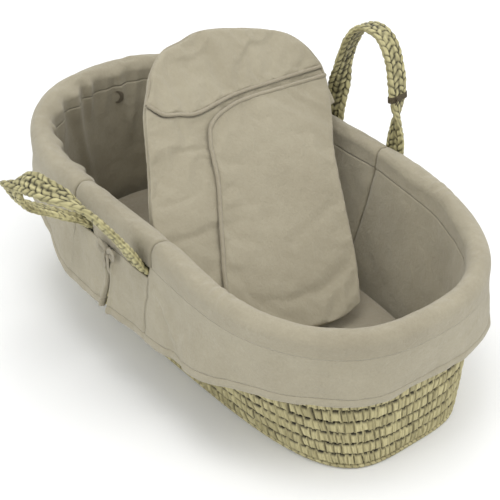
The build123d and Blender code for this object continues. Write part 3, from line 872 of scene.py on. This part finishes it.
def many_tubes(name, parts, material, around=6):
    """One mesh of closed tubes, each given as (line of points, up vectors, half width, half height)."""
    points, faces, uvs = [], [], []
    turn = np.linspace(0, 2 * PI, around, endpoint=False)
    start = 0
    for line, up, half_width, half_height in parts:
        side, up = line_frames(np.asarray(line), np.asarray(up))
        taper = 1 - 0.7 * (2 * np.linspace(0, 1, len(line)) - 1) ** 8
        w = side[:, None] * (half_width * np.cos(turn))[None, :, None]
        h = up[:, None] * (half_height * np.sin(turn))[None, :, None]
        grid = np.asarray(line)[:, None] + (w + h) * taper[:, None, None]
        rows = len(line)
        faces += grid_faces(rows, around, True, start)
        faces.append([start + v for v in range(around - 1, -1, -1)])
        faces.append([start + (rows - 1) * around + v for v in range(around)])
        points.append(grid.reshape(-1, 3))
        uvs.append(run_lengths(grid))
        start += rows * around
    return turned_out(new_piece(name, np.concatenate(points), faces, np.concatenate(uvs), material))


def strip_edge(x):
    """Lower edge of the cloth over the rim where the straps come out below it."""
    return 0.2175 + 0.0175 * smooth((np.abs(x + 0.048) - 0.045) / 0.012)


def make_liner():
    for which, count in (("head", 460), ("foot", 400)):
        make_pad(which, "liner_" + which + "_pad", count)
        make_roll(which, "rim_roll_" + which, count)
    for which in SIDE:
        make_pad(which, "liner_" + which + "_panel", 110)
        make_roll(which, "rim_strip_" + which, 110, strip_edge)
    make_skirt(-1, "head")
    make_skirt(1, "foot")
    def outline(angle, inset):
        return wall_at(angle, 0 * angle, -PAD_BACK - inset)[..., :2]
    floor = rounded_pad("lining_floor", outline, 0.008, 0.0125, 0.0022, 0.150, LINER, crown=0.0002)
    settle(floor, "basket", "liner_velour", "liner_floor")


def rounded_pad(name, outline, low, high, edge, deepest, material, crown=0.0, swell=0.0, steps=26):
    """Pad with rounded edges; outline(angle, inset) gives its plan, and insets run in to deepest."""
    cols = 240
    angle = even_angles(0.0, 2 * PI, cols + 1)[:-1]
    bend = np.linspace(0, PI / 2, 7)
    inward = edge + (deepest - edge) * np.linspace(0, 1, steps)[1:] ** 1.3
    lower = [(inset, low) for inset in inward[::-1]]
    lower += [(edge * (1 - np.sin(t)), low + edge * (1 - np.cos(t))) for t in bend]
    side = [(-swell * np.sin(PI * t), low + edge + (high - low - 2 * edge) * t) for t in (0.2, 0.4, 0.6, 0.8)]
    upper = [(edge * (1 - np.cos(t)), high - edge * (1 - np.sin(t))) for t in bend]
    upper += [(inset, high) for inset in inward]
    rings = []
    for inset, z in lower + side + upper:
        xy = outline(angle, np.full(cols, inset))
        rise = crown * smooth(inset / 0.05) * (1 if z > (low + high) / 2 else 0)
        spot = np.concatenate([xy, np.full((cols, 1), z)], axis=1)
        loose = 3 * rise * noise(spot, 13, 11) * 0.4 + rise * 0.35 * noise(spot, 34, 12)
        rings.append(np.concatenate([xy, (z + rise + loose)[:, None]], axis=1))
    grid = np.stack(rings)
    faces = grid_faces(len(grid), cols, True)
    for first, flip in ((0, True), ((len(grid) - 1) * cols, False)):
        for i in range(1, cols // 2 - 1):
            quad = [i, i + 1, cols - i - 1, cols - i]
            faces.append([first + v for v in (reversed(quad) if flip else quad)])
        half = cols // 2
        for tip in ([cols - 1, 0, 1], [half - 1, half, half + 1]):
            faces.append([first + v for v in (reversed(tip) if flip else tip)])
    return turned_out(new_piece(name, grid, faces, grid.reshape(-1, 3)[:, :2], material))


# ------------------------------------------------------------------ motif and ties
def make_motif():
    """Crescent in satin stitch on the head lining, in place of any mark."""
    middle_z, middle_run, outer, inner, shift = 0.252, -0.020, 0.0125, 0.0105, 0.0062
    threads = []
    for v in np.arange(-outer, outer, 0.0007)[1:]:
        left = -np.sqrt(outer ** 2 - v ** 2)
        stop = shift - np.sqrt(inner ** 2 - v ** 2) if abs(v) < inner * 0.9 else -left * 0.5
        if stop - left < 0.0012:
            continue
        angle = angle_at_run(middle_run + np.linspace(left, stop, 5))
        lift = 0.0010 + 0.0008 * np.sin(PI * np.linspace(0, 1, 5))
        z = np.full(5, middle_z + v)
        line = wall_at(angle, z, -inner_offset(angle, z) - lift)
        threads.append((line, np.array([1.0, 0.0, 0.2]), 0.00045, 0.0004))
    piece = many_tubes("crescent_motif", threads, THREAD)
    return settle(piece, "basket", "motif_thread", "head_motif")


def bow_paths(knot, out, along):
    """Centre lines of a tie's two loops and two tails, from its knot."""
    up = np.array([0.0, 0.0, 1.0])

    def at(points):
        return spline([knot + along * a + up * u + out * o for a, u, o in points], 22)
    return [
        at([(0, 0, 0.002), (0.012, 0.010, 0.004), (0.021, 0.007, 0.004), (0.019, -0.003, 0.003),
            (0.002, -0.002, 0.001)]),
        at([(0, 0, 0.002), (-0.010, 0.013, 0.004), (-0.018, 0.012, 0.005), (-0.017, 0.001, 0.004),
            (-0.002, -0.002, 0.002)]),
        at([(0, 0, 0.002), (0.005, -0.010, 0.004), (0.003, -0.024, 0.003), (0.008, -0.038, 0.002)]),
        at([(0, 0, 0.003), (-0.005, -0.009, 0.005), (-0.004, -0.022, 0.004), (-0.010, -0.033, 0.003)]),
    ]


def make_tie(name):
    """Narrow cloth tie in a bow over the top of the skirt's slit."""
    side = SIDE[name]
    angle = rim_turn(np.array([SLIT_X[name]]))
    angle = angle if side > 0 else 2 * PI - angle
    knot = hang_at(angle, np.array([TIE_Z]), skirt_offset(angle, np.array([TIE_Z])) + 0.005)[0]
    out = np.array([0.0, side, 0.25])
    out = unit(out)
    strips = [(line, out, 0.0042, 0.0010) for line in bow_paths(knot, out, np.array([1.0, 0.0, 0.0]))]
    turn = np.linspace(0, 2 * PI, 12)
    wrap = knot + 0.0042 * np.outer(np.cos(turn), out) + 0.0050 * np.outer(np.sin(turn), [0, 0, 1.0])
    strips.append((wrap, np.array([1.0, 0.02, 0.0]), 0.0042, 0.0012))
    piece = many_tubes(name + "_bow", strips, TIE, around=10)
    settle(piece, "basket", "tie_cloth", name + "_tie")


# ------------------------------------------------------------------ handles
def side_angle(x, z, name):
    angle = angle_at_x(x, z)
    return angle if name == "far" else 2 * PI - angle


def pivot(name):
    """Middle of the line a handle swings about."""
    x = sum(LEGS[name]) / 2
    turn = rim_turn(x) if name == "far" else 2 * PI - rim_turn(x)
    return np.array([x, rim_xy(turn)[1] + SIDE[name] * PIVOT_OUT, PIVOT_Z])


def loop_points(name):
    """(along, outward, up) points of a handle's middle line, from its foot leg to its head leg."""
    if name == "near":
        return np.array(NEAR_LOOP) / 1000
    x, height = oval(PI * np.linspace(0, 1, 13), (LEGS[name][1] - LEGS[name][0]) / 2, FAR_RISE, FAR_POWER)
    lean = radians(TILT[name])
    return np.stack([x, height * sin(lean), height * cos(lean)], axis=-1)


def loop_line(name, count=81):
    """Middle line of a handle's loop and the direction of its width, which turns from along to across."""
    side = SIDE[name]
    line = pivot(name) + spline(loop_points(name), count) * np.array([1.0, side, 1.0])
    along = unit(np.gradient(line, axis=0))
    tilt = radians(TILT[name])
    across = np.array([0.0, cos(tilt), -side * sin(tilt)])
    flat = unit(np.cross(along, across))
    across = np.cross(flat, along)
    run = distances(line)
    start, length = TWIST[name]
    turn = smooth((np.minimum(run, run[-1] - run) - start) / length)[:, None] * PI / 2
    return line, flat * np.cos(turn) + across * np.sin(turn)


def anchor_line(name, end):
    """Middle line of a strap end from its stitched foot up to the loop."""
    x = LEGS[name][end]
    points = []
    for z, out in ((0.150, 0.0092), (0.165, 0.0090), (0.180, 0.0090), (0.195, 0.0090), (0.205, 0.0090),
                   (0.218, 0.0120), (0.2255, 0.0210)):
        wall_y = float(wall_xy(side_angle(x, z, name), z)[1])
        points.append([x, wall_y + SIDE[name] * out, z])
    return np.array(points)


def strap_line(name):
    loop, wide = loop_line(name)
    ends = [anchor_line(name, 1), anchor_line(name, 0)[::-1]]
    line = np.concatenate([ends[0], loop[1:-1], ends[1]])
    flat = np.tile([1.0, 0.0, 0.0], (len(ends[0]), 1))
    widths = np.concatenate([-flat, wide[1:-1], flat])
    both = spline(np.concatenate([line, widths * 0.05], axis=1), 620)
    return both[:, :3], both[:, 3:]


def plait(width_place, length, seed):
    """Height, painted shade in its grooves and channels, and tone of a flat plait of four strands, across and
    along the strap.
    """
    lane_width, pitch = STRAP_WIDTH / 4, 0.0128
    lane = np.floor(width_place / lane_width + 2)
    across = width_place / lane_width + 2 - lane
    lean = np.where(lane % 2 == 0, 1.0, -1.0)
    run = length / pitch + 0.55 * lean * (across - 0.5) + 0.5 * (lane % 2)
    run = run + 0.12 * np.sin(length * 210 + lane * 2.1 + seed) + 0.06 * np.sin(length * 470 + lane + seed)
    strand = np.floor(run)
    part = run - strand
    side = np.minimum(part, 1 - part)
    groove = bell(side / 0.16) * (0.50 + 0.50 * scrambled(strand, lane, seed))
    lane_side = np.minimum(across, 1 - across)
    channel = bell(lane_side / 0.17) * (0.30 + 0.70 * scrambled(strand, lane, seed + 3))
    crown = np.sin(PI * part) ** 0.6
    height = 0.0024 * crown - 0.0018 * channel - 0.0010 + 0.0010 * (scrambled(strand, lane, seed + 5) - 0.5)
    fibre = 0.0003 * np.sin(2 * PI * (across * 3 + 0.3 * part))
    # The second value is painted shade in the grooves between strands and the channels between lanes.
    return height + fibre, np.clip(groove * 1.05 + channel * 0.95, 0, 1), scrambled(strand, lane, seed + 1)


def make_handle(name, seed):
    centre, wide = strap_line(name)
    along = unit(np.gradient(centre, axis=0))
    wide = unit(wide - along * (wide * along).sum(axis=1)[:, None])
    thick = np.cross(along, wide)
    length = distances(centre)
    around = 88
    turn = np.linspace(0, 2 * PI, around, endpoint=False)
    c, s = np.cos(turn), np.sin(turn)
    w = STRAP_WIDTH / 2 * np.sign(c) * np.abs(c) ** 0.55
    h = STRAP_THICK / 2 * np.sign(s) * np.abs(s) ** 0.62
    edge = 0.95 + 0.08 * noise(np.stack([length, 0 * length, 0 * length + seed], axis=1), 55, seed)
    tall = np.repeat(length[:, None], around, axis=1)
    height, gap, tone = plait(w[None] + 0 * tall, tall + 0.003 * np.sign(s)[None], seed)
    face = np.abs(s)[None] ** 0.5
    w = w[None] * edge[:, None] + 0.0005 * np.sign(c)[None] * np.sin(2 * PI * tall / 0.0118)
    h = h[None] + height * np.sign(s)[None] * face
    grid = centre[:, None] + wide[:, None] * w[..., None] + thick[:, None] * h[..., None]
    piece = tube_from(name + "_handle", grid, PLAIT)
    # gap carries the plait's painted shade, on its two flat faces only.
    keep_values(piece, gap=gap * face, tone=tone)
    set_uv(piece.data, np.stack([w, tall], axis=-1).reshape(-1, 2))
    ends = [name + "_strap_end_head", name + "_strap_end_foot"]
    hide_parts(name + "_handle_loop", *ends)
    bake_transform(piece)
    return piece


def make_binding():
    """Dark raffia wound round the far handle, with a knot whose ends stick out."""
    line, wide = loop_line("far", 101)
    place = round(100 * BINDING_PLACE)
    centre, wide = line[place], wide[place] / np.linalg.norm(wide[place])
    along = line[place + 1] - line[place - 1]
    along = unit(along)
    thick = np.cross(along, wide)
    strips = []
    for k in range(6):
        turn = np.linspace(0, 2 * PI, 25)
        c, s = np.cos(turn), np.sin(turn)
        w = 0.0212 * np.sign(c) * np.abs(c) ** 0.6
        h = 0.0066 * np.sign(s) * np.abs(s) ** 0.6
        slope = (k - 2.5) * 0.0017 + 0.0012 * turn / (2 * PI)
        ring = centre + np.outer(w, wide) + np.outer(h, thick) + np.outer(slope, along)
        strips.append((ring, thick * 0.3 + along, 0.0009, 0.0009))
    knot = centre - thick * 0.0075 - wide * 0.012
    for aim in (along * 0.9 - wide * 0.5, -along * 0.7 - wide * 0.9, -thick * 0.4 - wide):
        end = knot + aim * 0.009 - thick * 0.002
        strips.append((spline([knot, (knot + end) / 2 - thick * 0.002, end], 8), wide, 0.0010, 0.0010))
    piece = many_tubes("handle_raffia", strips, RAFFIA, around=7)
    return settle(piece, "far_handle", "raffia_cord", "far_handle_binding")


# ------------------------------------------------------------------ mattress and nest
def make_mattress():
    def outline(angle, inset):
        plan = oval(angle, MATTRESS_LENGTH - inset, MATTRESS_WIDTH - inset, MATTRESS_POWER)
        return np.stack(plan, axis=-1)
    cover = rounded_pad("mattress", outline, MATTRESS_LOW, MATTRESS_HIGH - 0.003, 0.011, 0.144, MATTRESS,
                        crown=0.0030, swell=-0.0015)
    core = rounded_pad("mattress_foam", lambda angle, inset: outline(angle, inset + 0.004),
                       MATTRESS_LOW + 0.004, MATTRESS_HIGH - 0.008, 0.006, 0.140, FOAM)
    settle(cover, "mattress", "mattress_velour", "mattress_cover")
    settle(core, "mattress", "mattress_foam", "mattress_core")


SLOPE = radians(NEST_SLOPE)
NEST_ORIGIN = np.array([NEST_FOOT[0], 0.0, NEST_FOOT[1]])
ACROSS = np.array([0.0, 1.0, 0.0])
UP_SLOPE = np.array([-cos(SLOPE), 0.0, sin(SLOPE)])
OUT = np.array([sin(SLOPE), 0.0, cos(SLOPE)])

# Outlines on the nest's front face: (across, up the slope), in millimetres.
BOTTOM = [(-112, 16), (-38, 8), (38, -3), (90, 2)]
RIGHT = [(90, 2), (107, 42), (124, 83), (152, 163), (181, 244), (206, 292), (229, 340), (240, 372)]
CROWN = [(240, 372), (241, 396), (226, 436), (196, 465), (127, 492), (59, 508), (16, 503), (-21, 497),
         (-55, 474), (-78, 445), (-93, 425)]
LEFT = [(-93, 425), (-106, 402), (-140, 327), (-162, 284), (-178, 245), (-184, 190), (-180, 124), (-160, 60),
        (-112, 16)]
FLAP_EDGE = [(236, 367), (183, 371), (141, 374), (81, 378), (50, 377), (16, 370), (-4, 361), (-15, 350),
             (-29, 321), (-44, 274), (-58, 244), (-87, 186), (-117, 124), (-128, 70), (-118, 22)]
HOOD_SEAM = [(-93, 425), (-75, 402), (-50, 394), (-17, 385), (60, 392), (150, 389), (240, 384)]
UNDER_EDGE = [(234, 320), (183, 311), (141, 313), (81, 317), (50, 317), (34, 313), (24, 296), (15, 262),
              (-2, 222), (-32, 160), (-58, 104), (-68, 66), (-58, 14)]


def nest_point(place, height):
    """World points for (across, up) places and heights over the nest's front face."""
    place = np.asarray(place)
    height = np.asarray(height)[..., None]
    return NEST_ORIGIN + place[..., :1] * ACROSS + place[..., 1:2] * UP_SLOPE + height * OUT


def joined(*stretches, step=0.005):
    """Closed outline from splined stretches that meet at corners, in metres."""
    parts = []
    for stretch in stretches:
        p = np.array(stretch, float) / 1000
        length = np.linalg.norm(np.diff(p, axis=0), axis=1).sum()
        parts.append(spline(p, max(3, int(length / step)))[:-1])
    return np.concatenate(parts)


def segment_distance(points, start, end):
    d = end - start
    t = np.clip(((points - start) @ d) / (d @ d), 0, 1)
    return np.linalg.norm(points - start - t[:, None] * d, axis=1)


def to_edge(points, outline):
    """Distance of each point from a closed outline."""
    ends = zip(outline, np.roll(outline, -1, axis=0))
    return np.min([segment_distance(points, p, q) for p, q in ends], axis=0)


def is_inside(points, outline):
    x, y = points[:, 0], points[:, 1]
    result = np.zeros(len(points), bool)
    for (x0, y0), (x1, y1) in zip(outline, np.roll(outline, -1, axis=0)):
        if y0 == y1:
            continue
        crosses = (y0 > y) != (y1 > y)
        result ^= crosses & (x < (x1 - x0) * (y - y0) / (y1 - y0) + x0)
    return result


def hex_points(outline, step):
    low, high = outline.min(axis=0), outline.max(axis=0)
    rows = np.arange(low[1], high[1], step * 0.866)
    columns = np.arange(low[0], high[0], step)
    points = np.array([(x + (i % 2) * step / 2, y) for i, y in enumerate(rows) for x in columns])
    return points[is_inside(points, outline)]


def quilt(name, outline, layer, edge, material, relief=None, step=0.0062):
    """Sewn pad: two faces that meet along the outline, with relief (places, depth) to shape the top."""
    low, high = layer
    middle, half = (low + high) / 2, (high - low) / 2
    inner = hex_points(outline, step)
    depth = to_edge(inner, outline)
    inner = inner[depth > 0.0018]
    towards = np.roll(outline, -1, axis=0) - np.roll(outline, 1, axis=0)
    normal = np.stack([-towards[:, 1], towards[:, 0]], axis=1)
    normal = unit(normal)
    shifted = outline + normal * 0.0009
    if not is_inside(shifted[:4], outline).all():
        shifted = outline - normal * 0.0009
    inner = np.concatenate([inner, shifted[is_inside(shifted, outline)]])
    count = len(outline)
    places = np.concatenate([outline, inner])
    rim = [list(range(count))]
    flat, _, faces, origin, _, _ = delaunay_2d_cdt([Vector(p) for p in places], [], rim, 1, 1e-7)
    flat = np.array([tuple(v) for v in flat])
    fixed = np.array([any(i < count for i in ids) for ids in origin])
    depth = to_edge(flat, outline)
    depth[fixed] = 0
    round_off = np.sqrt(np.clip(1 - (1 - np.clip(depth / edge, 0, 1)) ** 2, 0, 1))
    extra = relief(flat) * smooth(depth / 0.010) if relief is not None else 0 * depth
    top = nest_point(flat, middle + half * round_off + extra)
    under = nest_point(flat[~fixed], (middle - half * round_off)[~fixed])
    total = len(flat)
    other = np.arange(total)
    other[~fixed] = total + np.arange((~fixed).sum())
    triangles = [list(f) for f in faces] + [[int(other[v]) for v in reversed(f)] for f in faces]
    uv = np.concatenate([flat, flat[~fixed]])
    piece = turned_out(new_piece(name, np.concatenate([top, under]), triangles, uv, material))
    piece.vertex_groups.new(name="sewn").add([int(i) for i in np.flatnonzero(fixed)], 1.0, "REPLACE")
    return piece


def swell(piece, pressure, grow, most):
    """Puffs a sewn pad by cloth simulation, no point moving further than most, and smooths it."""
    before = np.zeros(len(piece.data.vertices) * 3)
    piece.data.vertices.foreach_get("co", before)
    cloth = piece.modifiers.new("cloth", "CLOTH")
    cloth.settings.quality = 5
    cloth.settings.mass = 0.15
    cloth.settings.tension_stiffness = 25
    cloth.settings.compression_stiffness = 25
    cloth.settings.bending_stiffness = 0.6
    cloth.settings.use_pressure = True
    cloth.settings.uniform_pressure_force = pressure
    cloth.settings.shrink_min = -grow
    cloth.settings.vertex_group_mass = "sewn"
    cloth.settings.effector_weights.gravity = 0.0
    for step in range(1, 21):
        bpy.context.scene.frame_set(step)
    depsgraph = bpy.context.evaluated_depsgraph_get()
    after = np.zeros(len(before))
    piece.evaluated_get(depsgraph).data.vertices.foreach_get("co", after)
    piece.modifiers.remove(cloth)
    bpy.context.scene.frame_set(1)
    move = (after - before).reshape(-1, 3)
    size = np.linalg.norm(move, axis=1)[:, None]
    move *= np.minimum(1, most / np.maximum(size, 1e-9))
    piece.data.vertices.foreach_set("co", before + move.ravel())
    piece.data.update()
    finer = piece.modifiers.new("finer", "SUBSURF")
    finer.levels = finer.render_levels = 1
    return piece


def line_distance(points, line):
    """Distance of each point from an open line that is given in millimetres."""
    line = np.array(line, float) / 1000
    return np.min([segment_distance(points, p, q) for p, q in zip(line[:-1], line[1:])], axis=0)


# Creases of the nest's front: (line, depth, width)
NEST_CREASES = [
    ([(-86, 340), (-40, 330), (-20, 322)], 0.0009, 0.005),
    ([(-150, 270), (-110, 262), (-75, 268)], 0.0008, 0.005),
    ([(-165, 215), (-120, 205), (-90, 212)], 0.0010, 0.006),
    ([(-160, 150), (-130, 146)], 0.0008, 0.005),
    ([(-60, 385), (-52, 350)], 0.0010, 0.004),
    ([(95, 430), (130, 455), (175, 450)], 0.0014, 0.006),
    ([(120, 395), (112, 420), (125, 440)], 0.0013, 0.005),
    ([(-30, 470), (20, 466), (60, 474)], 0.0010, 0.006),
    ([(150, 372), (158, 350), (176, 336)], 0.0010, 0.005),
    ([(20, 140), (70, 150), (120, 168)], 0.0008, 0.009),
    ([(-40, 60), (20, 52), (80, 60)], 0.0008, 0.010),
    ([(10, 280), (60, 300), (140, 296)], 0.0007, 0.010),
]


def nest_relief(points):
    spot = np.concatenate([points, np.zeros((len(points), 1))], axis=1)
    height = 0.0022 * noise(spot, 9, 21) + 0.0014 * noise(spot, 24, 22) + 0.0007 * noise(spot, 60, 23)
    for line, deep, width in NEST_CREASES:
        height = height - 1.7 * deep * bell(line_distance(points, line) / width)
    return height


def settle_flap(piece, node):
    """Hides the flap's CAD part and bakes the piece's placement into its mesh."""
    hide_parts(node)
    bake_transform(piece)


def piping(name, node, line, height, radius):
    """Cord in a bias strip along a line on the nest, puckered a little by its stitches."""
    places = spline(np.array(line, float) / 1000, 260)
    run = distances(places)
    relief = nest_relief(places)
    centre = nest_point(places, height + relief * 0.8)
    side, up = line_frames(centre, OUT)
    pucker = 1 + 0.05 * np.sin(run * 900) + 0.04 * noise(np.stack([run, 0 * run, 0 * run], axis=1), 120, 31)
    piece = tube_along(name, centre, side, up, radius * pucker, radius * pucker, PIPING, around=14)
    if node == "nest_flap_piping":
        return settle_flap(piece, node)
    nodes = (node,) if node else ()
    return settle(piece, "nest", "piping_velour", *nodes)


def make_nest():
    whole = joined(BOTTOM, RIGHT, CROWN, LEFT)
    back = swell(quilt("nest_back", whole, BACK_LAYER, 0.012, NEST), 1.5, 0.01, 0.003)
    lower = [(x, y - 1.5) for x, y in HOOD_SEAM]
    left = LEFT[::-1][:-1] + [lower[0]]
    under = joined(lower, [lower[-1], UNDER_EDGE[0]], UNDER_EDGE, [UNDER_EDGE[-1], (-112, 18)], left)
    under = swell(quilt("nest_under", under, UNDER_LAYER, 0.006, NEST, nest_relief), 1.0, 0.02, 0.0025)
    upper = [(x, y + 1.5) for x, y in HOOD_SEAM]
    hood = joined(upper, [upper[-1], CROWN[1]], CROWN[1:-1] + [upper[0]])
    hood = quilt("nest_top", hood, (UNDER_LAYER[0], -0.0035), 0.008, NEST, nest_relief)
    hood = swell(hood, 1.5, 0.03, 0.0040)
    inset = [(x + 1.2, y - 1) for x, y in FLAP_EDGE[:-1]] + [(-113, 20)]
    flap = joined(inset, BOTTOM[:-1] + [(88, 4)], [(88, 4)] + RIGHT[1:-1] + [inset[0]])
    flap = swell(quilt("nest_flap_cloth", flap, OVER_LAYER, 0.007, NEST, nest_relief), 1.0, 0.015, 0.0025)
    settle(back, "nest", "nest_velour", "nest_back_panel")
    settle(under, "nest", "nest_velour", "nest_under_flap")
    settle(hood, "nest", "nest_velour", "nest_hood")
    settle_flap(flap, "nest_over_flap")
    piping("flap_piping", "nest_flap_piping", FLAP_EDGE, -0.0002, 0.0034)
    piping("hood_piping", "nest_hood_piping", HOOD_SEAM, -0.0044, 0.0032)
    piping("edge_piping", None, CROWN, -0.0085, 0.0026)


bpy.context.scene.view_settings.view_transform = "Standard"
make_camera()
make_lights()
make_floor()
make_wall()
make_base()
make_liner()
make_motif()
make_tie("near")
make_tie("far")
make_handle("near", 3)
make_handle("far", 5)
make_binding()
make_mattress()
make_nest()
